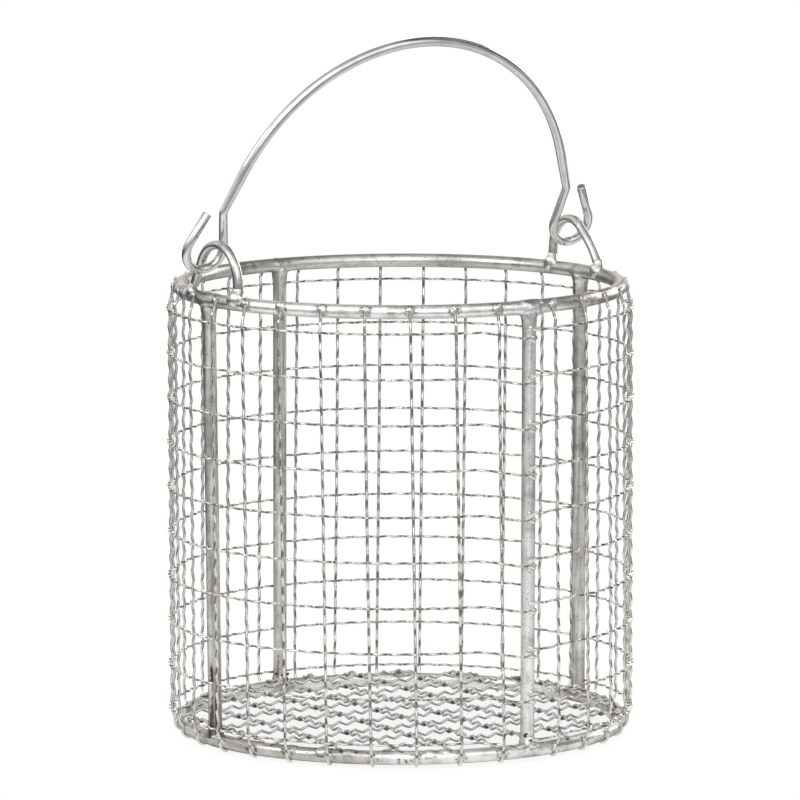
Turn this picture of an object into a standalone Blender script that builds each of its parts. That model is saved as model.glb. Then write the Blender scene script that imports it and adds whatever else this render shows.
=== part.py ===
"""A round wire drain basket: a frame of round rod, woven mesh walls and base, and a swinging bail.

Metres, +Z up, standing on z = 0 with the basket's axis on Z. X runs along the two ears that hold
the bail. The wall mesh is one strip rolled round the frame, and its ends meet on the upright at -Y.
"""

import math

import bmesh
import bpy
from mathutils import Vector

NAME = "wire_drain_basket"

# Clearance that pieces in contact keep to each other
SEAT_GAP = 0.0003

# Frame of round rod: two rings and the uprights between them
RING_RADIUS = 0.098
FRAME_ROD = 0.006
FRAME_HEIGHT = 0.1954
# Plan angles of the uprights' feet and heads, as set by hand in the welding jig
UPRIGHT_FEET = (0.9, 91.1, 179.6, -89.4)
UPRIGHT_HEADS = (-0.1, 90.6, 176.9, -88.8)
RING_STEPS = 64
RING_SIDES = 10
UPRIGHT_SIDES = 12

# Wall mesh: warp wires stand, weft wires run round
MESH_WIRE = 0.0014
WARP_PITCH = 0.0199
WEFT_PITCH = 0.0200
FIRST_WARP = 0.0115
LAST_WARP_ROOM = 0.005
MESH_SKEW = 0.0127
FIRST_WEFT = 0.0091
LAST_WEFT_ROOM = 0.004
WEFT_END_LAP = 0.0025
WEFT_SAG = 0.0042
WEFT_SAG_RUN = 0.030
WARP_TIP_RISE = 0.002
WARP_TIP_RUN = 0.005
HEM_TURN = math.radians(90)
HEM_STEPS = 3

# Base mesh: a woven disc whose wire ends lie on the bottom ring's crown
BASE_PITCH = 0.020
BASE_TURN = math.radians(-2)
BASE_X_SHIFT = 0.0076
BASE_Y_SHIFT = 0.0
BASE_END_PAST = 0.001
BASE_PRESS = 0.0001

# Ears: bent wire loops that stand on the top ring over the uprights at -X and +X
EAR_WIRE = 0.004
EAR_SPREAD = 0.0363
EAR_SHIFT = 0.0012
EAR_TOP_LEAN = 0.0008
EAR_STUB = 0.0012
LEFT_EAR_BEND = 0.0154
LEFT_EAR_RISE = 0.0246
LEFT_EAR_SKEW = -0.0029
RIGHT_EAR_BEND = 0.0124
RIGHT_EAR_RISE = 0.0234
RIGHT_EAR_SKEW = 0.0054

# Bail: one wire with a bow, a kink and a hook at each end, swinging in the ears
BAIL_WIRE = 0.004
BAIL_AXIS_RISE = 0.0129
BAIL_AXIS_SHIFT = 0.0074
BAIL_SLIP = -0.0019
BAIL_LEAN = math.radians(17.8)
BOW_RADIUS = 0.0907
BOW_CENTRE_RISE = 0.0118
BOW_END = math.radians(21.5)
BOW_STEPS = 15
FLARE_LENGTH = 0.0194
KINK_RADIUS = 0.004
HOOK_RADIUS = 0.0094
HOOK_INSET = 0.00025
HOOK_STEPS = 11
TAIL_LEAN = math.radians(26)
TAIL_LENGTH = 0.015

# Places that follow from the sizes above
SEAM_ANGLE = math.radians((UPRIGHT_FEET[-1] + UPRIGHT_HEADS[-1]) / 2)
HEM_RADIUS = FRAME_ROD / 2 + SEAT_GAP + MESH_WIRE / 2
BOTTOM_RING_Z = HEM_RADIUS + MESH_WIRE / 2
TOP_RING_Z = BOTTOM_RING_Z + FRAME_HEIGHT
RING_FLAT = FRAME_ROD / 2 * math.cos(math.pi / RING_SIDES)
WALL_SEAT = RING_RADIUS + HEM_RADIUS
WALL_CRIMP = (MESH_WIRE + SEAT_GAP) / 2
WALL_RADIUS = WALL_SEAT + WALL_CRIMP
WALL_LENGTH = 2 * math.pi * WALL_RADIUS
WARPS = int((WALL_LENGTH - FIRST_WARP - LAST_WARP_ROOM) / WARP_PITCH) + 1
WEFTS = int((FRAME_HEIGHT - FIRST_WEFT - LAST_WEFT_ROOM) / WEFT_PITCH) + 1
BASE_CRIMP = MESH_WIRE / 2 - BASE_PRESS
BASE_SEAT_Z = BOTTOM_RING_Z + FRAME_ROD / 2 + SEAT_GAP + MESH_WIRE / 2
BASE_Z = BASE_SEAT_Z + BASE_CRIMP
BASE_REACH = RING_RADIUS + BASE_END_PAST
HOOK_CENTRE_X = RING_RADIUS - HOOK_INSET


def make_collection(name):
    """Add a collection to the scene."""
    collection = bpy.data.collections.new(name)
    bpy.context.scene.collection.children.link(collection)
    return collection


def make_steel(name, colour, roughness):
    """Bright or pickled stainless wire."""
    material = bpy.data.materials.new(name)
    material.use_nodes = True
    shader = material.node_tree.nodes["Principled BSDF"]
    shader.inputs["Base Color"].default_value = (*colour, 1)
    shader.inputs["Metallic"].default_value = 1
    shader.inputs["Roughness"].default_value = roughness
    return material


def settle(obj, name, material, collection):
    """Name an object, give it its material and put it in its collection alone."""
    obj.name = name
    obj.data.name = name
    obj.data.materials.clear()
    obj.data.materials.append(material)
    for other in list(obj.users_collection):
        other.objects.unlink(obj)
    collection.objects.link(obj)
    return obj


def smooth(obj):
    """Shade a round mesh smooth, with its cut ends left crisp."""
    obj.data.shade_smooth()
    obj.data.set_sharp_from_angle(angle=math.radians(50))


def around(radius, angle, height):
    """A place at a plan angle round the basket's axis."""
    return Vector((radius * math.cos(angle), radius * math.sin(angle), height))


def make_wire(name, paths, diameter, resolution, material, collection):
    """Round wire along one or more paths of points, with closed ends."""
    curve = bpy.data.curves.new(name, "CURVE")
    curve.dimensions = "3D"
    curve.bevel_depth = diameter / 2
    curve.bevel_resolution = resolution
    curve.use_fill_caps = True
    for path in paths:
        spline = curve.splines.new("POLY")
        spline.points.add(len(path) - 1)
        for point, place in zip(spline.points, path):
            point.co = (*place, 1)
    obj = bpy.data.objects.new(name, curve)
    return settle(obj, name, material, collection)


def arc(centre, radius, start, end, steps):
    """Points in a plane along an arc, both ends included."""
    return [
        Vector((
            centre[0] + radius * math.cos(start + (end - start) * i / steps),
            centre[1] + radius * math.sin(start + (end - start) * i / steps),
        ))
        for i in range(steps + 1)
    ]


def tangent_angle(point, centre, radius, side):
    """Angle on a circle where a straight run from a point outside meets it, on one side."""
    away = Vector(point) - Vector(centre)
    return math.atan2(away.y, away.x) + side * math.acos(radius / away.length)


def fillet(before, corner, after, radius, steps):
    """Points that round off the corner between two straight runs in a plane."""
    back = (before - corner).normalized()
    ahead = (after - corner).normalized()
    half = back.angle(ahead) / 2
    centre = corner + (back + ahead).normalized() * radius / math.sin(half)
    start = corner + back * radius / math.tan(half) - centre
    end = corner + ahead * radius / math.tan(half) - centre
    turn = start.angle_signed(end)
    first = math.atan2(start.y, start.x)
    return arc(centre, radius, first, first - turn, steps)


def make_ring(name, height, material, collection):
    """A hoop of round rod, butt-welded into a ring."""
    bpy.ops.mesh.primitive_torus_add(
        major_segments=RING_STEPS,
        minor_segments=RING_SIDES,
        major_radius=RING_RADIUS,
        minor_radius=FRAME_ROD / 2,
        location=(0, 0, height),
    )
    ring = settle(bpy.context.object, name, material, collection)
    smooth(ring)
    return ring


def make_upright(name, foot_angle, head_angle, material, collection):
    """A rod that stands on the bottom ring's crown and ends under the top ring."""
    foot = around(RING_RADIUS, foot_angle, BOTTOM_RING_Z + RING_FLAT + SEAT_GAP)
    head = around(RING_RADIUS, head_angle, TOP_RING_Z - RING_FLAT - SEAT_GAP)
    bpy.ops.mesh.primitive_cylinder_add(
        vertices=UPRIGHT_SIDES,
        radius=FRAME_ROD / 2,
        depth=(head - foot).length,
        location=(foot + head) / 2,
        rotation=(head - foot).to_track_quat("Z", "Y").to_euler(),
    )
    upright = settle(bpy.context.object, name, material, collection)
    smooth(upright)
    return upright


def wall_point(radius, run, height):
    """A place on the wall at a run from the seam, counted round the basket."""
    return around(radius, SEAM_ANGLE + run / WALL_RADIUS, height)


def warp_run(warp, height):
    """Run of a warp wire at a height. The strip is rolled a little askew, so the wires lean."""
    return FIRST_WARP + warp * WARP_PITCH + (TOP_RING_Z - height) * MESH_SKEW


def weft_level(weft):
    """Height of a weft wire, away from the stretch that sags towards the seam."""
    return TOP_RING_Z - FIRST_WEFT - weft * WEFT_PITCH


def weft_height(weft, run):
    """Height of a weft wire at a run from the seam. Its far end is welded a little low."""
    near = max(0, 1 - (WALL_LENGTH - run) / WEFT_SAG_RUN)
    near = min(1, near)
    return weft_level(weft) - WEFT_SAG * near * near * (3 - 2 * near)


def crossing(warp, weft):
    """Run and height where two wall wires cross, and 1 or -1 for the weft outside or inside."""
    run = warp_run(warp, weft_level(weft))
    side = 1 if (warp + weft) % 2 == 0 else -1
    return run, weft_height(weft, run), side


def warp_path(warp):
    """A standing wire: its tip on the top ring's outer face, its foot hemmed under the bottom ring."""
    path = []
    for height in (TOP_RING_Z + WARP_TIP_RISE, TOP_RING_Z + WARP_TIP_RISE - WARP_TIP_RUN):
        path.append(wall_point(WALL_SEAT, warp_run(warp, height), height))
    for weft in range(WEFTS):
        run, height, side = crossing(warp, weft)
        path.append(wall_point(WALL_RADIUS - side * WALL_CRIMP, run, height))
    run = warp_run(warp, BOTTOM_RING_Z)
    for step in range(HEM_STEPS + 1):
        turn = HEM_TURN * step / HEM_STEPS
        radius = RING_RADIUS + HEM_RADIUS * math.cos(turn)
        path.append(wall_point(radius, run, BOTTOM_RING_Z - HEM_RADIUS * math.sin(turn)))
    return path


def weft_path(weft):
    """A wire round the wall, over and under the warps, with both ends on the seam upright."""
    path = []
    for run in (-WEFT_END_LAP, WEFT_END_LAP):
        path.append(wall_point(WALL_SEAT, run, weft_level(weft)))
    for warp in range(WARPS):
        run, height, side = crossing(warp, weft)
        path.append(wall_point(WALL_RADIUS + side * WALL_CRIMP, run, height))
    for run in (WALL_LENGTH - WEFT_END_LAP, WALL_LENGTH + WEFT_END_LAP):
        path.append(wall_point(WALL_SEAT, run, weft_height(weft, run)))
    return path


def base_lines(shift):
    """Offsets of one family of base wires, as whole pitches from its shift."""
    edge = RING_RADIUS - FRAME_ROD / 2
    first = math.ceil((-edge - shift) / BASE_PITCH)
    last = math.floor((edge - shift) / BASE_PITCH)
    return {step: shift + step * BASE_PITCH for step in range(first, last + 1)}


def base_end(offset, way, family):
    """How far a base wire runs from its middle, stopping short of an upright in its path."""
    reach = math.sqrt(BASE_REACH ** 2 - offset ** 2)
    clear = FRAME_ROD / 2 + SEAT_GAP + MESH_WIRE / 2
    for degrees in UPRIGHT_FEET:
        angle = math.radians(degrees) - BASE_TURN
        foot = Vector((RING_RADIUS * math.cos(angle), RING_RADIUS * math.sin(angle)))
        along = foot[family] * way
        aside = abs(foot[1 - family] - offset)
        if along > 0 and aside < clear:
            reach = min(reach, along - math.sqrt(clear ** 2 - aside ** 2) - SEAT_GAP)
    return reach * way


def base_paths(family):
    """Wires of the base disc that run along X (family 0) or along Y (family 1) of its weave."""
    lines = base_lines((BASE_Y_SHIFT, BASE_X_SHIFT)[family])
    crossed = base_lines((BASE_X_SHIFT, BASE_Y_SHIFT)[family])
    turn = (math.cos(BASE_TURN), math.sin(BASE_TURN))
    paths = []
    for line, offset in lines.items():
        near = base_end(offset, -1, family)
        far = base_end(offset, 1, family)
        stops = [(near, BASE_SEAT_Z)]
        for other, along in crossed.items():
            if near + MESH_WIRE < along < far - MESH_WIRE:
                side = 1 if (line + other + family) % 2 == 0 else -1
                stops.append((along, BASE_Z + side * BASE_CRIMP))
        stops.append((far, BASE_SEAT_Z))
        path = []
        for along, height in stops:
            x, y = (along, offset) if family == 0 else (offset, along)
            path.append(Vector((x * turn[0] - y * turn[1], x * turn[1] + y * turn[0], height)))
        paths.append(path)
    return paths


def make_mesh_from_wire(obj):
    """Turn a wire into a mesh whose ends are joined to its sides, so that it can be united."""
    bpy.context.view_layer.update()
    evaluated = obj.evaluated_get(bpy.context.evaluated_depsgraph_get())
    mesh = bpy.data.meshes.new_from_object(evaluated)
    solid = bpy.data.objects.new(obj.name, mesh)
    solid.matrix_world = obj.matrix_world
    work = bmesh.new()
    work.from_mesh(mesh)
    bmesh.ops.remove_doubles(work, verts=work.verts, dist=SEAT_GAP / 30)
    work.to_mesh(mesh)
    work.free()
    for collection in obj.users_collection:
        collection.objects.link(solid)
    name = obj.name
    bpy.data.objects.remove(obj)
    solid.name = name
    return solid


def make_base(name, material, parts, cutters):
    """The base disc: two families of wires, pressed together where they cross."""
    along_x = make_wire(name, base_paths(0), MESH_WIRE, 0, material, parts)
    along_y = make_wire(name + "_cross_wires", base_paths(1), MESH_WIRE, 0, material, cutters)
    along_x = make_mesh_from_wire(along_x)
    along_y = make_mesh_from_wire(along_y)
    along_y.hide_render = True
    along_y.display_type = "WIRE"
    union = along_x.modifiers.new("weave", "BOOLEAN")
    union.operation = "UNION"
    union.solver = "EXACT"
    union.object = along_y
    return along_x


def ear_path(way, bend, rise, skew):
    """An ear in its own plane: up one leg, round the bend and down the other leg."""
    foot_z = TOP_RING_Z + RING_FLAT + SEAT_GAP
    centre = Vector((EAR_SHIFT + skew, TOP_RING_Z + rise - bend))
    ends = [Vector((EAR_SHIFT + way_y * EAR_SPREAD / 2, foot_z)) for way_y in (1, -1)]
    stubs = [end + Vector((0, EAR_STUB)) for end in ends]
    start = tangent_angle(stubs[0], centre, bend, 1)
    end = tangent_angle(stubs[1], centre, bend, -1)
    if end < start:
        end += 2 * math.pi
    flat = [ends[0], stubs[0], *arc(centre, bend, start, end, 8), stubs[1], ends[1]]
    path = []
    for y, z in flat:
        foot_x = math.sqrt(RING_RADIUS ** 2 - max(abs(ends[0].x), abs(ends[1].x)) ** 2)
        lean = EAR_TOP_LEAN * (z - foot_z) / (TOP_RING_Z + rise - foot_z)
        path.append(Vector((way * (foot_x + lean), y, z)))
    return path


def bail_side():
    """Half of the bail in its own plane, from the top of the bow to the cut end of the hook."""
    bow_centre = Vector((0, BOW_CENTRE_RISE))
    bow = arc(bow_centre, BOW_RADIUS, math.pi / 2, BOW_END, BOW_STEPS)
    kink = bow[-1] + Vector((math.sin(BOW_END), -math.cos(BOW_END))) * FLARE_LENGTH
    hook_centre = Vector((HOOK_CENTRE_X, HOOK_RADIUS))
    start = tangent_angle(kink, hook_centre, HOOK_RADIUS, 1)
    hook = arc(hook_centre, HOOK_RADIUS, start, 2 * math.pi + TAIL_LEAN, HOOK_STEPS)
    tail = hook[-1] + Vector((-math.sin(TAIL_LEAN), math.cos(TAIL_LEAN))) * TAIL_LENGTH
    return [*bow, *fillet(bow[-1], kink, hook[0], KINK_RADIUS, 2), *hook, tail]


def make_bail(name, material, collection):
    """The bail, hung on an empty that lies on its swing axis."""
    axis = bpy.data.objects.new(name + "_axis", None)
    axis.location = (0, BAIL_AXIS_SHIFT, TOP_RING_Z + BAIL_AXIS_RISE)
    axis.rotation_euler = (BAIL_LEAN, 0, 0)
    collection.objects.link(axis)
    side = bail_side()
    path = [Vector((-x, 0, z)) for x, z in reversed(side[1:])]
    path += [Vector((x, 0, z)) for x, z in side]
    bail = make_wire(name, [path], BAIL_WIRE, 2, material, collection)
    bail.parent = axis
    bail.location = (BAIL_SLIP, 0, 0)
    return bail


def main():
    """Build the basket."""
    for obj in list(bpy.data.objects):
        bpy.data.objects.remove(obj)
    parts = make_collection(NAME)
    cutters = make_collection(NAME + "_cutters")
    rod_steel = make_steel("frame_rod_steel", (0.60, 0.58, 0.55), 0.34)
    mesh_steel = make_steel("mesh_wire_steel", (0.52, 0.50, 0.47), 0.38)
    ear_steel = make_steel("ear_wire_steel", (0.66, 0.64, 0.61), 0.26)
    bail_steel = make_steel("bail_wire_steel", (0.64, 0.62, 0.59), 0.28)
    make_ring("top_ring", TOP_RING_Z, rod_steel, parts)
    make_ring("bottom_ring", BOTTOM_RING_Z, rod_steel, parts)
    for number, (foot, head) in enumerate(zip(UPRIGHT_FEET, UPRIGHT_HEADS)):
        angles = math.radians(foot), math.radians(head)
        make_upright(f"upright_{number + 1}", *angles, rod_steel, parts)
    for warp in range(WARPS):
        make_wire(f"wall_warp_{warp + 1:02d}", [warp_path(warp)], MESH_WIRE, 0, mesh_steel, parts)
    for weft in range(WEFTS):
        make_wire(f"wall_weft_{weft + 1:02d}", [weft_path(weft)], MESH_WIRE, 0, mesh_steel, parts)
    make_base("base_mesh", mesh_steel, parts, cutters)
    left = ear_path(-1, LEFT_EAR_BEND, LEFT_EAR_RISE, LEFT_EAR_SKEW)
    right = ear_path(1, RIGHT_EAR_BEND, RIGHT_EAR_RISE, RIGHT_EAR_SKEW)
    make_wire("ear_left", [left], EAR_WIRE, 2, ear_steel, parts)
    make_wire("ear_right", [right], EAR_WIRE, 2, ear_steel, parts)
    make_bail("bail", bail_steel, parts)


main()
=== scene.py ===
"""Looks of the wire drain basket: crimped wire, welds, steel, studio and camera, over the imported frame."""

import itertools
import math
import random

import bmesh
import bpy
import numpy as np
from mathutils import Matrix, Vector, noise


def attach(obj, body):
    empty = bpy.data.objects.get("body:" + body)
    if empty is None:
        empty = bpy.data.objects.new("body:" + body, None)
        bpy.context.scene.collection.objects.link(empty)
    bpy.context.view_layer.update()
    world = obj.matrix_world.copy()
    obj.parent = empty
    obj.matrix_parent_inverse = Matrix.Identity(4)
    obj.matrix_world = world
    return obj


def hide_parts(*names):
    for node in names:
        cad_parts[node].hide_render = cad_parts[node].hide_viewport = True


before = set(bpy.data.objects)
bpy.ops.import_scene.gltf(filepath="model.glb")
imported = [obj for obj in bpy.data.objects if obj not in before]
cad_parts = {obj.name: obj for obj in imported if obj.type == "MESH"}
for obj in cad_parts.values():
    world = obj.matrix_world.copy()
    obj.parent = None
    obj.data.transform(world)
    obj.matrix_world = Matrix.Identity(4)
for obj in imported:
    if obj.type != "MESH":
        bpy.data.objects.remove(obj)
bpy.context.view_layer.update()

# Sizes of the solids, in metres, which the visible pieces follow
RING_RADIUS = 0.098
ROD = 0.006
TOP_RING_Z = 0.2001
BOTTOM_RING_Z = 0.0047
UPRIGHT_FEET = (0.9, 91.1, 179.6, -89.4)
UPRIGHT_HEADS = (-0.1, 90.6, 177.5, -88.8)
WIRE = 0.0014
WARPS = 32
WEFTS = 10
WARP_PITCH = 0.0199
WEFT_PITCH = 0.02
FIRST_WARP = 0.0115
FIRST_WEFT = 0.0091
MESH_SKEW = 0.0127
WALL_RADIUS = 0.10285
WALL_LENGTH = 2 * math.pi * WALL_RADIUS
SEAM_ANGLE = math.radians(-89.1)
WEFT_SAG = 0.0042
WEFT_SAG_RUN = 0.03
WARP_TIP_RISE = 0.0022
BASE_PITCH = 0.02
BASE_TURN = math.radians(-2)
BASE_SHIFTS = (0.0076, 0.0)
BASE_Z = 0.0093
BASE_REACH = 0.0988
EAR_SPREAD = 0.0363
EAR_SHIFT = 0.0012
EAR_TOP_LEAN = 0.0008
LEFT_EAR = {"way": -1, "bend": 0.0154, "rise": 0.0246, "skew": -0.0029, "bow": 0.0, "leg": 0.0045}
RIGHT_EAR = {"way": 1, "bend": 0.0124, "rise": 0.0234, "skew": 0.0054, "bow": 0.0011, "leg": 0.0044}
BAIL_AXIS = Vector((-0.0019, 0.0074, 0.213))
BAIL_LEAN = math.radians(17.8)
BOW_RADIUS = 0.0907
BOW_CENTRE_RISE = 0.0118
BOW_END = math.radians(21.5)
FLARE_LENGTH = 0.0194
KINK_RADIUS = 0.0034
HOOK_RADIUS = 0.0094
HOOK_CENTRE_X = 0.09775
TAIL_LEAN = math.radians(26)
TAIL_LENGTH = 0.015

# The camera: its plan direction, tilt, distance and the height it looks at
CAMERA_TURN = math.radians(-33.6)
CAMERA_TILT = math.radians(8.57)
CAMERA_DISTANCE = 3.125
CAMERA_LOOK_Z = 0.1017
CAMERA_ROLL = math.radians(-0.13)
FOCAL_PIXELS = 6985
IMAGE_PIXELS = 800
CENTRE_DOWN_PIXELS = 103.8
CENTRE_SIDE_PIXELS = -0.5
SENSOR_WIDTH = 36

RIGHT = Vector((math.cos(CAMERA_TURN), math.sin(CAMERA_TURN), 0))
AWAY = Vector((-math.sin(CAMERA_TURN), math.cos(CAMERA_TURN), 0))

# Crimp of the woven wire: two and a half waves to a pitch, so each crossing meets a crest
WARP_CRIMP = 0.0003
WEFT_CRIMP = 0.00084
BASE_CRIMP = 0.0007
CRIMP_PHASES = (-44, -22, 0, 22, 44, 136, 158, 180, 202, 224)
WAVES_PER_PITCH = 2.5
MESH_SIDES = 8
MESH_TURNS = 2 * np.pi * np.arange(MESH_SIDES) / MESH_SIDES
# Share of a wall wire's painted shade on each side of its section: most on the faces that look in and out
RADIAL_FACES = np.abs(np.sin(MESH_TURNS)) ** 1.5
MESH_CHAMFER = 0.0002

# Half width and half thickness of the mesh wires, and of a warp where it is rolled under the bottom ring
WARP_SECTION = (0.00066, 0.00066)
WEFT_SECTION = (0.00055, 0.00066)
BASE_SECTION = (0.00064, 0.00064)
HEM_SECTION = (0.00078, 0.00066)
HEM_TURN = math.radians(96)
HEM_STEPS = 7

# Flattened ends of the wall's wires, as way down or run, half width and half thickness; how far down a warp's
# waves start; and the runs at which a weft leaves the upright and its waves start
WARP_TIP = ((0.0, 0.0006, 0.0004), (0.0004, 0.00095, 0.0006), (0.0012, 0.00115, 0.0007),
            (0.0024, 0.00095, 0.00066), (0.0036, 0.00076, 0.00066))
WARP_TIP_LENGTH = 0.0044
WEFT_START = ((-0.0018, 0.0008, 0.0004), (-0.001, 0.00115, 0.00048), (0.0004, 0.00105, 0.0005),
              (0.002, 0.0008, 0.0006))
WEFT_END = ((-0.002, 0.0008, 0.0006), (-0.0004, 0.00105, 0.0005), (0.0012, 0.00115, 0.00048),
            (0.0022, 0.0008, 0.0004))
PRESSED_RUN = 0.002
PRESSED_TO = 0.0034

# Thickness of the rod and of the bright wire as the photograph shows them, up to 0.4 mm over the solids'.
# An ear's near leg thickens this far from its middle, and the bail this far above its kinks, which are
# pinched by these shares of their width and thickness
RING_STOUT = 0.00624
EAR_STOUT = 0.0041
EAR_LEG_SWELLS = (0.0144, 0.0168)
HOOK_STOUT = 0.004
BOW_STOUT = 0.0044
BOW_SWELLS = (0.001, 0.012)
KINK_PINCH = (0.14, 0.06)
BAIL_CHAMFER = 0.0003

# Painted shade of the top ring, darker towards the back, and the most that an upright's streaked painted
# shade reaches
TOP_DULL = 0.32
STREAK_LIMIT = 0.48


def around(radius, angle, height):
    """A place at a plan angle round the basket's axis."""
    return Vector((radius * math.cos(angle), radius * math.sin(angle), height))


def smoothstep(low, high, value):
    """0 below low, 1 above high, and a smooth rise between."""
    t = min(1, max(0, (value - low) / (high - low)))
    return t * t * (3 - 2 * t)


def wave_places(first, last):
    """Places, counted in pitches, at which a crimped wire gets a point: close round each crest."""
    waves = range(math.floor(first * WAVES_PER_PITCH) - 1, math.ceil(last * WAVES_PER_PITCH) + 1)
    places = [(wave + phase / 360) / WAVES_PER_PITCH for wave in waves for phase in CRIMP_PHASES]
    return [place for place in places if first < place < last]


def crest(place):
    """Height of the crimp at a place counted in pitches, from -1 to 1, nearly a triangle wave."""
    angle = 2 * math.pi * WAVES_PER_PITCH * place
    return (math.cos(angle) + 0.1 * math.cos(3 * angle)) / 1.1


def flank_mark(place, side):
    """Painted dark reflection on one flank of each wave (side 1), or round each outward crest (side 0)."""
    phase = (WAVES_PER_PITCH * place) % 1 * 360
    if side:
        return 1.0 if 40 < phase < 140 else 0.45 if 20 < phase < 160 else 0.0
    apart = min(phase, 360 - phase)
    return 0.2 if apart < 13 else 1.0 if apart < 52 else 0.0


def crossing_mark(place, pitch, sign, pressed=0.6, free=0.1, reach=0.0018):
    """Painted shade where a wire crosses another: deep on the side that is pressed against it, else faint."""
    near = abs(place - round(place)) * pitch
    inside = sign * crest(round(place)) < 0
    return (pressed if inside else free) * (1 - smoothstep(0.0006, reach, near))


def put_in_scene(name, data):
    """An object in the scene for a mesh, lamp or camera."""
    obj = bpy.data.objects.new(name, data)
    bpy.context.scene.collection.objects.link(obj)
    return obj


def tube(name, path, sizes, side, sides, material, closed=False, wear=None):
    """Wire swept along a path.

    sizes holds half of the width along side and half of the thickness across it, at each point. side is one
    direction for the whole path, or one for each point, roughly square to the path. The last argument is a
    darkening from 0 to 1 at each point, or at each point and each side of the section, kept as an attribute
    that the material reads: heat stain and random tone, and painted shade on the rings, uprights and woven
    wires.
    """
    points = np.array([tuple(p) for p in path])
    count = len(points)
    half = np.array(sizes if np.ndim(sizes) == 2 else [sizes] * count, float)
    guide = np.array([tuple(s) for s in side]) if np.ndim(side) == 2 else np.tile(tuple(side), (count, 1))
    if closed:
        tangents = np.roll(points, -1, 0) - np.roll(points, 1, 0)
    else:
        tangents = np.gradient(points, axis=0)
    tangents /= np.linalg.norm(tangents, axis=1)[:, None]
    across = guide - (guide * tangents).sum(1)[:, None] * tangents
    across /= np.linalg.norm(across, axis=1)[:, None]
    up = np.cross(tangents, across)
    turn = 2 * np.pi * np.arange(sides) / sides
    rings = (
        points[:, None]
        + across[:, None] * half[:, None, 0:1] * np.cos(turn)[None, :, None]
        + up[:, None] * half[:, None, 1:2] * np.sin(turn)[None, :, None]
    )
    steps = np.linalg.norm(np.diff(points, axis=0, append=points[:1]), axis=1)
    along = np.concatenate([[0], np.cumsum(steps)])
    faces, corners = [], []
    for i in range(count if closed else count - 1):
        a, b = i * sides, (i + 1) % count * sides
        for j in range(sides):
            k = (j + 1) % sides
            faces.append((a + j, a + k, b + k, b + j))
            u0, u1, v0, v1 = j / sides, (j + 1) / sides, along[i], along[i + 1]
            corners += [u0, v0, u1, v0, u1, v1, u0, v1]
    smooth_faces = [True] * len(faces)
    if not closed:
        faces += [tuple(reversed(range(sides))), tuple(range((count - 1) * sides, count * sides))]
        corners += [0.5, 0] * sides + [0.5, along[-2]] * sides
        smooth_faces += [False, False]
    mesh = bpy.data.meshes.new(name)
    mesh.from_pydata(rings.reshape(-1, 3).tolist(), [], faces)
    mesh.polygons.foreach_set("use_smooth", smooth_faces)
    mesh.materials.append(material)
    mesh.uv_layers.new(name="along").data.foreach_set("uv", corners)
    # Heat stain and painted shade, kept as an attribute for the material
    worn = np.zeros(count) if wear is None else np.array(wear, float)
    worn = worn if worn.ndim == 2 else np.outer(worn, np.ones(sides))
    mesh.attributes.new("wear", "FLOAT", "POINT").data.foreach_set("value", worn.ravel())
    mesh.attributes.new("weld", "FLOAT", "POINT")
    return put_in_scene(name, mesh)


def swell(obj, spots):
    """Raise rippled weld metal on a piece round spots, each (centre, reach, height, darkening)."""
    mesh = obj.data
    welded = mesh.attributes["weld"].data
    worn = mesh.attributes["wear"].data
    normals = [vertex.normal.copy() for vertex in mesh.vertices]
    for centre, reach, height, darkening in spots:
        for index, vertex in enumerate(mesh.vertices):
            distance = (vertex.co - centre).length
            if distance > reach * 1.3:
                continue
            ragged = distance * (1 + 0.5 * noise.noise(centre * 70 + vertex.co * 420))
            share = 1 - smoothstep(0.45, 1.0, ragged / reach)
            ripple = 1 + 0.6 * noise.noise(vertex.co * 900)
            vertex.co = vertex.co + normals[index] * height * share * ripple
            welded[index].value = max(welded[index].value, share)
            rim = smoothstep(0.7, 0.95, ragged / reach) * (1 - smoothstep(1.0, 1.25, ragged / reach))
            worn[index].value = max(worn[index].value, darkening * rim)


def rounded_ends(path, sizes, chamfer):
    """Draw in both ends of an open path, so that its cut ends have a soft edge."""
    start, end = [path[at] + (path[inner] - path[at]).normalized() * chamfer
                  for at, inner in ((0, 1), (-1, -2))]
    small_start, small_end = [[size - chamfer for size in sizes[at]] for at in (0, -1)]
    return [path[0], start, *path[1:-1], end, path[-1]], [small_start, *sizes, small_end]


def blobs(name, places, material):
    """Weld nuggets in one piece: each is (centre, three axes as columns, half sizes, seed, roughness)."""
    work = bmesh.new()
    for centre, axes, half, seed, rough in places:
        made = bmesh.ops.create_icosphere(work, subdivisions=3 if max(half) > 0.0016 else 2, radius=1)
        offset = Vector((seed * 3.7, seed * 1.9, seed * 5.3))
        for vertex in made["verts"]:
            broad = noise.noise(vertex.co * 1.6 + offset)
            narrow = noise.noise(vertex.co * 4.2 + offset)
            lump = broad * rough + narrow * rough * 0.45
            local = Vector(vertex.co[i] * half[i] * (1 + lump) for i in range(3))
            vertex.co = Vector(centre) + axes @ local
    mesh = bpy.data.meshes.new(name)
    work.to_mesh(mesh)
    work.free()
    mesh.shade_smooth()
    mesh.materials.append(material)
    return put_in_scene(name, mesh)


def columns(x_axis, y_axis):
    """Axes matrix from two directions, made square."""
    x_axis = Vector(x_axis).normalized()
    z_axis = x_axis.cross(Vector(y_axis)).normalized()
    y_axis = z_axis.cross(x_axis)
    return Matrix((x_axis, y_axis, z_axis)).transposed()


def ring_axes(theta):
    """Axes at a plan angle: along the ring, outwards, and square to both."""
    return columns((-math.sin(theta), math.cos(theta), 0), (math.cos(theta), math.sin(theta), 0))


def wall_axes(run, slope=0):
    """Axes at a run along the wall: along it, rising by a slope, then upwards, and square to both."""
    theta = SEAM_ANGLE + run / WALL_RADIUS
    return columns((-math.sin(theta), math.cos(theta), slope), (0, 0, 1))


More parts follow.
